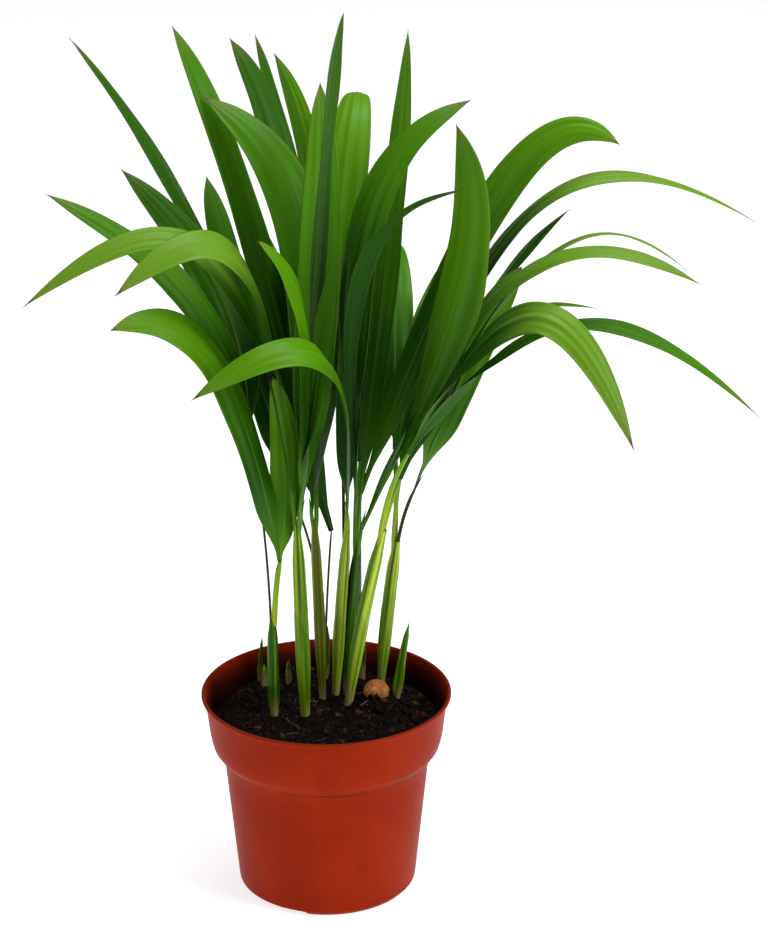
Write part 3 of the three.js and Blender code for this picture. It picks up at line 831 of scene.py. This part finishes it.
# Name, stem, seat beside the stem's middle, stalk radius, base of the blade, skin of the stalk, the
# share of the stalk's length at which its lobes root, and its two lobes. Sizes are in millimetres.
FRONDS = [
    ("frond_left_low", "stem_left", (1.1, -0.6), 1.5, (-21, -10, 171), "yellow", 1, [
        lobe((-26, -13, 100), (-73, -34, 125), 21, 48, "bright"),
        lobe((3, 10, 45), (-3, 20, 85), 15, 0, "painted_lit"),
    ]),
    ("frond_left", "stem_left", (-1.5, 0.9), 0.9, (-35, 6, 230), "dark", 1, [
        lobe((-24, 4, 62), (-92, 10, 112), 17, 32, "middle"),
        lobe((-12, 16, 59), (-60, 39, 116), 20, 38, "deep"),
    ]),
    ("frond_left_front", "stem_front", (-1.6, 0), 1.2, (-19, -8, 226), "green", 0.5, [
        lobe((-31, -9, 99), (-115, -26, 77), 17, 30, "pale", 0.45),
        lobe((-15, -29, 100), (-70, -62, 94), 19, 42, "pale", 0.45),
    ]),
    ("frond_front_bright", "stem_front", (0.8, -1.4), 1.2, (-9, -15, 215), "green", 0.45, [
        lobe((2, -5, 74), (-20, -9, 117), 16, 40, "bright"),
        lobe((9, 5, 64), (16, 11, 106), 14, 0, "bright"),
    ]),
    ("frond_front_low", "stem_pair_left", (1.3, -0.6), 1.5, (9, 10, 194), "yellow", 0.5, [
        lobe((-6, -43, 84), (-67, -68, 74), 19, 38, "bright"),
        lobe((2, 12, 46), (3, 26, 84), 12, 0, "deep"),
    ]),
    ("frond_crown_top", "stem_front", (0.8, 1.4), 1.2, (-9, -1, 199), "green", 0.5, [
        lobe((7, 20, 105), (7, 59, 185), 20, 0, "bright"),
        lobe((9, 6, 152), (19, 2, 230), 15, -20, "middle"),
    ]),
    ("frond_crown_wide", "stem_middle", (-1.2, 0), 1.1, (-8, 16, 194), "green", 0.5, [
        lobe((-1, 28, 116), (-50, 62, 178), 26, 20, "middle"),
        lobe((16, 46, 136), (23, 100, 170), 22, 0, "bright"),
    ]),
    ("frond_crown_left", "stem_middle", (1.2, 0), 1.1, (-5, 32, 206), "green", 1, [
        lobe((-12, 48, 115), (-42, 86, 185), 18, 0, "deep"),
        lobe((1, 50, 102), (-21, 94, 176), 16, 40, "bright"),
    ]),
    ("frond_crown_back", "stem_pair_left", (-1.2, 0.8), 1.1, (7, 45, 222), "dark", 1, [
        lobe((-22, 62, 90), (-43, 104, 164), 12, 60, "middle"),
        lobe((4, 62, 72), (5, 96, 95), 18, 0, "deep"),
    ]),
    ("frond_left_tall", "stem_back", (1.1, -0.6), 0.9, (2, 50, 162), "dark", 1, [
        lobe((-58, 9, 142), (-121, 20, 240), 16, 5, "deep"),
        lobe((-37, 16, 150), (-75, 46, 240), 16, 25, "middle"),
    ]),
    ("frond_crown_right", "stem_pair_right", (0, 1.5), 1.1, (22, 27, 225), "green", 0.5, [
        lobe((9, 21, 95), (17, 51, 179), 16, 30, "bright"),
        lobe((59, 0, 119), (113, -8, 139), 18, -60, "bright"),
    ]),
    ("frond_front_high", "stem_pair_right", (-1.3, -0.75), 1.1, (16, 6, 232), "green", 0.45, [
        lobe((3, 7, 98), (52, 30, 149), 18, -30, "middle"),
        lobe((2, -21, 87), (54, -51, 130), 11, 10, "deep", 0.4),
    ]),
    ("frond_right_front", "stem_pair_right", (1.3, -0.75), 1.1, (20, 8, 192), "green", 0.5, [
        lobe((39.5, -23, 107), (39.5, -20, 190), 29, -70, "bright", 0.6),
        lobe((62, -22, 116), (148, -48, 124), 16, -15, "pale"),
    ]),
    ("frond_right_low", "stem_right", (0.3, -1.7), 1.4, (39, -12, 226), "yellow", 1, [
        lobe((67, -14, 67), (156, -40, 32), 16, -5, "middle"),
        lobe((50, -28, 75), (99, -60, 23), 18, -40, "pale"),
    ]),
    ("frond_right_middle", "stem_right", (1.2, 1.3), 1.4, (35, 12, 204), "yellow", 1, [
        lobe((62, -4, 107), (131, -8, 105), 15, 12, "pale"),
        lobe((17, 8, 62), (38, 36, 104), 15, 0, "bright"),
    ]),
    ("frond_right_broad", "stem_far_right", (1.45, -1), 1.4, (48, 20, 205), "dark", 0.7, [
        lobe((20, -2, 58), (44, 8, 99), 18, -75, "bright"),
        lobe((28, 8, 65), (80, 17, 75), 15, 10, "bright"),
    ]),
    ("frond_right_far", "stem_far_right", (-1.72, -0.15), 1.2, (39, 27, 218), "yellow", 1, [
        lobe((59, 9, 113), (162, 15, 103), 17, -5, "pale"),
        lobe((35, 11, 64), (75, 9, 111), 16, 0, "middle"),
    ]),
    ("frond_back_right", "stem_far_right", (0.3, 1.72), 1.2, (33, 46, 206), "green", 1, [
        lobe((16, 30, 53), (30, 72, 76), 18, 0, "middle"),
        lobe((0, 38, 61), (-1, 88, 79), 18, 0, "middle"),
    ]),
    ("frond_back", "stem_back_right", (0, 0), 1.3, (16, 56, 196), "green", 1, [
        lobe((10, 38, 46), (18, 88, 56), 18, 0, "deep"),
        lobe((-8, 40, 50), (-20, 90, 66), 18, 0, "deep"),
    ]),
    ("frond_back_left", "stem_back", (-0.6, 1.2), 0.9, (-20, 46, 190), "dark", 1, [
        lobe((-21, 24, 81), (-38, 48, 139), 19, 0, "middle"),
        lobe((-5, 36, 69), (-15, 78, 105), 18, 0, "middle"),
    ]),
]


def lobe_curve(base, shape):
    """The four control points of a lobe's middle line."""
    halfway = base + shape["middle"]
    tip = base + shape["tip"]
    pull = BASE_PULL + TIP_PULL
    knee = (halfway * 8 + base * (3 * BASE_PULL - 4) + tip * (3 * TIP_PULL - 4)) / (3 * pull)
    return base, base.lerp(knee, BASE_PULL), tip.lerp(knee, TIP_PULL), tip


def point_on(curve, share):
    rest = 1 - share
    weights = (rest ** 3, 3 * rest * rest * share, 3 * rest * share * share, share ** 3)
    return sum((point * weight for point, weight in zip(curve, weights)), Vector())


def heading_on(curve, share):
    rest = 1 - share
    weights = (rest * rest, 2 * rest * share, share * share)
    return sum(((curve[i + 1] - curve[i]) * weights[i] for i in range(3)), Vector()).normalized()


def squared_to(direction, along):
    """The part of a direction that is square to another."""
    return (direction - along * direction.dot(along)).normalized()


def level_outward(shape):
    return Vector((shape["tip"].x, shape["tip"].y, 0)).normalized()


def shared_across(curves, outward):
    """The direction across the common base of two lobes, with the upper face inwards."""
    spread = point_on(curves[1], SPREAD_SHARE) - point_on(curves[0], SPREAD_SHARE)
    along = (heading_on(curves[0], 0) + heading_on(curves[1], 0)).normalized()
    across = squared_to(spread, along)
    return -across if across.cross(along).dot(UP - outward) < 0 else across


def own_level_across(curve, shape, shared):
    """The level direction across a lobe, on the side to which it turns the shorter way."""
    level = level_outward(shape).cross(UP)
    along = heading_on(curve, TURN_SHARE)
    turned = Quaternion(along, -math.radians(shape["roll"])) @ squared_to(level, along)
    return -level if turned.dot(shared) < 0 else level


def petiole_material(name, low, high, streak_colour):
    """A stalk that goes from low to high up its length, with darker streaks."""
    material, nodes, shader = new_material(name)
    along = attribute(nodes, "along")
    across = attribute(nodes, "across")
    streak = nodes.noise(vector(nodes, across * 4, along * 3), 1, 3)
    tone = nodes.mix(nodes.smooth(along, 0.1, 0.95), low, high)
    nodes.feed(shader, {
        "Base Color": nodes.mix(nodes.smooth(streak, 0.42, 0.58) * 0.7, tone, streak_colour),
        "Roughness": 0.3 + streak * 0.15,
        "Normal": nodes.bump(streak, 0.3, 0.2 * MM),
        "Specular IOR Level": GREEN_SPECULAR,
    })
    return material


def leaf_material(name, shade, lit, under, base, shade_until=0.15):
    """Leaf painted darker as shade near its base and lighter beyond a given share of its length, with
    veins, a pale rib, edges painted lighter as if lit from behind, a duller underside, a colour at its
    base, a dry tip, and light shining through."""
    material, nodes, shader = new_material(name)
    along = attribute(nodes, "along")
    across = attribute(nodes, "across")
    lower = 1 - attribute(nodes, "upper")
    from_rib = nodes.maths("ABSOLUTE", across)
    sheet = vector(nodes, across * 7, along * 1.6, attribute(nodes, "phase"))
    veins = nodes.noise(sheet * (4.5, 1, 1), 1, 4, 0.65)
    cloud = nodes.noise(sheet * (0.25, 1.6, 1), 1, 3)
    # Painted shade: the blade is darker near its base, where the clump shades it, and lighter towards its
    # tip.
    lit_along = nodes.smooth(along + (cloud - 0.5) * 0.4, shade_until, 0.7)
    green = nodes.mix(lit_along, shade, lit)
    veined = nodes.mix(nodes.smooth(veins, 0.5, 0.72) * 0.4, green, lit)
    rib = 1 - nodes.smooth(from_rib, 0.01, 0.06)
    ribbed = nodes.mix(rib * (1 - along) * 0.45, veined, LEAF_RIB)
    faced = nodes.mix(lower * 0.6, ribbed, under)
    based = nodes.mix((1 - nodes.smooth(along, 0.0, 0.2)) * 0.6, faced, base)
    # Painted light: the edges are lightened as if lit through from behind.
    edge_lit = nodes.mix(nodes.smooth(from_rib, 0.9, 1.0) * 0.25, based, LEAF_EDGE_LIGHT)
    faded = nodes.mix(nodes.smooth(along, 0.88, 0.97) * 0.25, edge_lit, LEAF_FADED)
    dry = nodes.smooth(along + (veins - 0.5) * 0.04, 0.972, 0.988)
    nodes.feed(shader, {
        "Base Color": nodes.mix(dry, faded, LEAF_DRY),
        "Roughness": 0.3 + veins * 0.12 + lower * 0.2,
        "Normal": nodes.bump(veins, 0.3, 0.25 * MM),
        "Specular IOR Level": 0.15,
    })
    glow = nodes.add("ShaderNodeBsdfTranslucent", {}, {"Color": linear(LEAF_GLOW)})
    skin = Value(nodes, shader.outputs["BSDF"])
    leaf = nodes.add("ShaderNodeMixShader", {}, {"Fac": 0.22, 1: skin, 2: glow})
    nodes.feed(nodes.tree.nodes["Material Output"], {"Surface": leaf})
    return material


def squared_in_tree(nodes, direction, forward):
    """squared_to() for the values of a tree."""
    share = nodes.maths("DOT_PRODUCT", direction, forward)
    return nodes.maths("NORMALIZE", direction - forward * share)


def stalk_tree():
    """A thin rod from the stem through its knee to the blade's base, channelled on its inner side,
    that sprouts thin from the sheath and thins again where the lobes root."""
    tree, nodes, given = new_tree(
        "leaf_stalk", Vector=("Start", "Knee", "Base"), Material=("Skin",),
        Float=("Radius", "Sheathed", "Rooted", "Thinning", "Channel"))
    rod, place, along = unit_rod(nodes, STALK_SIDES, STALK_STEPS)
    centre = bent(given["Start"], given["Knee"], given["Base"], along)
    heading = (given["Knee"] - given["Start"]) * (1 - along) + (given["Base"] - given["Knee"]) * along
    forward = nodes.maths("NORMALIZE", heading)
    across = squared_in_tree(nodes, (1.0, 0.0, 0.0), forward)
    beside = nodes.maths("CROSS_PRODUCT", forward, across)
    facing = nodes.maths("COSINE", bearing_of(nodes, place) - given["Channel"])
    groove = nodes.smooth(facing, 0.55, 1.0) * STALK_GROOVE
    sprouting = SPROUT_SHARE + (1 - SPROUT_SHARE) * nodes.smooth(along / given["Sheathed"], 0, 1)
    ending = 1 - given["Thinning"] * nodes.smooth(along, given["Rooted"] - 0.15, 1)
    plain = given["Radius"] * (1 - (1 - STALK_TAPER) * along)
    radius = plain * (1.04 - groove) * sprouting * ending
    ring = across * (nodes.axis(place, "X") * radius) + beside * (nodes.axis(place, "Y") * radius)
    end_growth(nodes, given, stored(nodes, rod, along=along, across=facing), centre + ring)
    return tree


def lobe_tree():
    """A long pointed sheet, folded at its rib and pleated, that turns from the direction shared at
    the base to its own. Its edges and faces come from a rod pressed flat."""
    tree, nodes, given = new_tree(
        "pleated_lobe", Material=("Skin",),
        Vector=("Base", "First pull", "Last pull", "Tip", "Shared across", "Level across"),
        Float=("Roll", "Width", "Waist", "Pleats", "Pleat depth", "Wave", "Phase"))
    rod, place, along = unit_rod(nodes, LOBE_SIDES, LOBE_STEPS)
    side = nodes.axis(place, "Y")
    # The factors just under one keep the arcsine and the outline's root defined at the ends.
    across = nodes.maths("ARCSINE", nodes.axis(place, "X") * 0.999999) * (2 / math.pi)
    from_rib = nodes.maths("ABSOLUTE", across)
    rest = 1 - along

    first = given["First pull"]
    last = given["Last pull"]
    lower_half = given["Base"] * (rest * rest * rest) + first * (3 * rest * rest * along)
    upper_half = last * (3 * rest * along * along) + given["Tip"] * (along * along * along)
    heading = bent(first - given["Base"], last - first, given["Tip"] - last, along)
    forward = nodes.maths("NORMALIZE", heading)
    level = squared_in_tree(nodes, given["Level across"], forward)
    own = nodes.add("ShaderNodeVectorRotate", {"rotation_type": "AXIS_ANGLE"}, {
        "Vector": level, "Axis": forward, "Angle": 0 - given["Roll"]})
    turn = nodes.smooth(along, 0.0, TURN_SHARE)
    turned = given["Shared across"] * (1 - turn) + own * turn
    outwards = squared_in_tree(nodes, turned, forward)
    upwards = nodes.maths("CROSS_PRODUCT", outwards, forward)

    outline = nodes.maths("SINE", along ** OUTLINE_POWER * (math.pi * 0.9999)) ** 0.5
    wedge = nodes.smooth(along, WEDGE_START, given["Waist"])
    point = 1 - along ** POINT_POWER
    root = ROOT_WIDTH / 2 * (1 - nodes.smooth(along, 0.0, 0.3))
    half = nodes.maths("MAXIMUM", given["Width"] / 2 * outline * wedge * point, root)
    filled = half / (given["Width"] / 2)

    creases = nodes.maths("PINGPONG", across * given["Pleats"] + given["Phase"], 1.0) - 0.5
    pleats = creases * given["Pleat depth"] * nodes.smooth(along, 0.02, 0.3) * filled
    swing = nodes.maths("SINE", along * WAVES_ALONG + given["Phase"] * 5 + across * 1.5)
    ripple = swing * given["Wave"] * from_rib * from_rib * filled
    sheet = vector(nodes, across * 0.7, along * 4, given["Phase"])
    bumps = (nodes.noise(sheet, 1, 2) - 0.5) * given["Wave"] * 2 * filled
    fold = half * from_rib * -BLADE_FOLD
    thick = side * (BLADE_THICKNESS / 2) * (1 - 0.5 * along)
    ridge = (1 - nodes.smooth(from_rib, 0.03, 0.13)) * nodes.smooth(0 - side, 0.3, 1.0)
    lift = fold + pleats + ripple + bumps + thick - ridge * rest * KEEL_DEPTH

    growth = stored(
        nodes, rod, along=along, across=across, upper=nodes.smooth(side, -0.05, 0.05),
        phase=given["Phase"])
    spread = outwards * (across * half) + upwards * lift
    end_growth(nodes, given, growth, lower_half + upper_half + spread)
    return tree


# Lit and shaded copies of the leaf green, partly the leaves' own tones: deep is painted shade for leaves
# inside the clump, pale is a painted sheen on upward arcs, and the lightest skin is painted light for a
# lobe turned away from the lamps.
leaf_skins = {
    "painted_lit": leaf_material("leaf_painted_lit", (60, 116, 2), (98, 154, 10), (84, 140, 12), (122, 168, 18)),
    "pale": leaf_material("leaf_painted_sheen", (20, 62, 2), (111, 156, 36), (84, 126, 34), (56, 106, 8), 0.32),
    "bright": leaf_material("leaf_bright", (22, 70, 0), (90, 149, 6), (72, 132, 8), (88, 142, 12)),
    "middle": leaf_material("leaf_middle", (12, 50, 0), (71, 129, 5), (58, 112, 8), (50, 100, 6)),
    "deep": leaf_material("leaf_deep_shade", (5, 30, 0), (46, 96, 5), (36, 80, 12), (26, 66, 4)),
}
petiole_skins = {
    "yellow": petiole_material("petiole_yellow_green", (178, 200, 30), (116, 166, 12), (92, 128, 10)),
    "green": petiole_material("petiole_green", (104, 156, 12), (60, 118, 6), (36, 80, 4)),
    "dark": petiole_material("petiole_dark", (52, 60, 16), (40, 68, 8), (32, 30, 14)),
}
leaf_stalk = stalk_tree()
pleated_lobe = lobe_tree()

for number, frond in enumerate(FRONDS):
    name, stem, seat_place, stalk, base_place, petiole, rooted, lobes = frond
    bow, stem_top = stem_lines[stem]
    aside = Vector((*seat_place, 0)) * MM
    seat = stem_top + aside + UP * GAP
    start = stem_top + (bow - stem_top).normalized() * STALK_SINK + aside * 0.4
    base = Vector(base_place) * MM
    knee = seat + UP * (base.z - seat.z) / 2
    root = start.lerp(knee, rooted).lerp(knee.lerp(base, rooted), rooted)
    curves = [lobe_curve(base, shape) for shape in lobes]
    outward = sum((level_outward(shape) for shape in lobes), Vector()).normalized()
    shared = shared_across(curves, outward)
    piece = empty_piece(name + "_leaf")
    apply_tree(piece, leaf_stalk, {
        "Start": start, "Knee": knee, "Base": base,
        "Radius": stalk * MM * (WIRY_SHARE if petiole == "dark" else 1),
        "Sheathed": STALK_SINK / (base - start).length,
        "Rooted": float(rooted), "Thinning": 0.3 if rooted == 1 else 0.9,
        "Channel": math.atan2(-outward.y, -outward.x), "Skin": petiole_skins[petiole],
    })
    for half, (curve, shape) in enumerate(zip(curves, lobes)):
        apply_tree(piece, pleated_lobe, {
            "Base": root, "First pull": curve[1], "Last pull": curve[2], "Tip": curve[3],
            "Shared across": shared, "Level across": own_level_across(curve, shape, shared),
            "Roll": math.radians(shape["roll"]), "Width": shape["width"], "Waist": shape["waist"],
            "Pleats": 3.2 + 0.4 * ((number + half) % 3), "Pleat depth": shape["width"] * PLEAT_SHARE,
            "Wave": 0.55 * MM, "Phase": 1.7 * number + 0.9 * half,
            "Skin": leaf_skins[shape["skin"]],
        })
    settle(piece)
    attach(piece, "root")
    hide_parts(name)


# Studio
# A plain pale floor that glows a little, three broad soft lamps, and the camera at the
# photograph's viewing angle.

FLOOR_REACH = 8
FLOOR_GLOW = 0.74
FLOOR_GREY = (196, 198, 206)
FLOOR_PALE = (204, 206, 212)
WHITE = (1, 1, 1, 1)
LAMP_AIM = Vector((0.02, 0.0, 0.24))
# Name, place, width in metres and power of each lamp.
LAMPS = [
    ("key_lamp", (1.25, -0.75, 1.2), 0.6, 15.5),
    ("top_lamp", (0.2, 0.2, 1.7), 0.9, 19),
    ("fill_lamp", (-1.2, -0.9, 0.7), 1.0, 2.6),
]
SKY_STRENGTH = 0.25
CAMERA_PLACE = (0.02768, -1.3057, 0.7158)
CAMERA_PITCH = 68.85
CAMERA_LENS = 113.6


def floor_material():
    material, nodes, shader = new_material("pale_floor")
    grain = nodes.noise(object_place(nodes), 3, 2)
    nodes.feed(shader, {
        "Base Color": nodes.mix(grain, FLOOR_GREY, FLOOR_PALE),
        "Roughness": 0.9,
        "Specular IOR Level": 0.1,
        "Emission Color": WHITE,
        "Emission Strength": FLOOR_GLOW,
    })
    return material


floor = add_mesh(
    "floor",
    [(x * FLOOR_REACH, y * FLOOR_REACH, 0) for x, y in ((-1, -1), (1, -1), (1, 1), (-1, 1))],
    [(0, 1, 2, 3)],
    floor_material(),
)

for name, place, width, power in LAMPS:
    light = bpy.data.lights.new(name, "AREA")
    light.size = width
    light.energy = power
    lamp = bpy.data.objects.new(name, light)
    lamp.location = place
    lamp.rotation_euler = (LAMP_AIM - Vector(place)).to_track_quat("-Z", "Y").to_euler()
    bpy.context.collection.objects.link(lamp)

world = bpy.data.worlds.new("studio_white")
world.use_nodes = True
sky = world.node_tree.nodes["Background"]
sky.inputs["Color"].default_value = WHITE
sky.inputs["Strength"].default_value = SKY_STRENGTH
bpy.context.scene.world = world
bpy.context.scene.view_settings.view_transform = "Standard"

camera_data = bpy.data.cameras.new("camera")
camera_data.sensor_fit = "VERTICAL"
camera_data.sensor_height = 36
camera_data.lens = CAMERA_LENS
camera_data.clip_end = 30
camera = bpy.data.objects.new("camera", camera_data)
camera.location = CAMERA_PLACE
camera.rotation_euler = (math.radians(CAMERA_PITCH), 0, 0)
bpy.context.collection.objects.link(camera)
bpy.context.scene.camera = camera
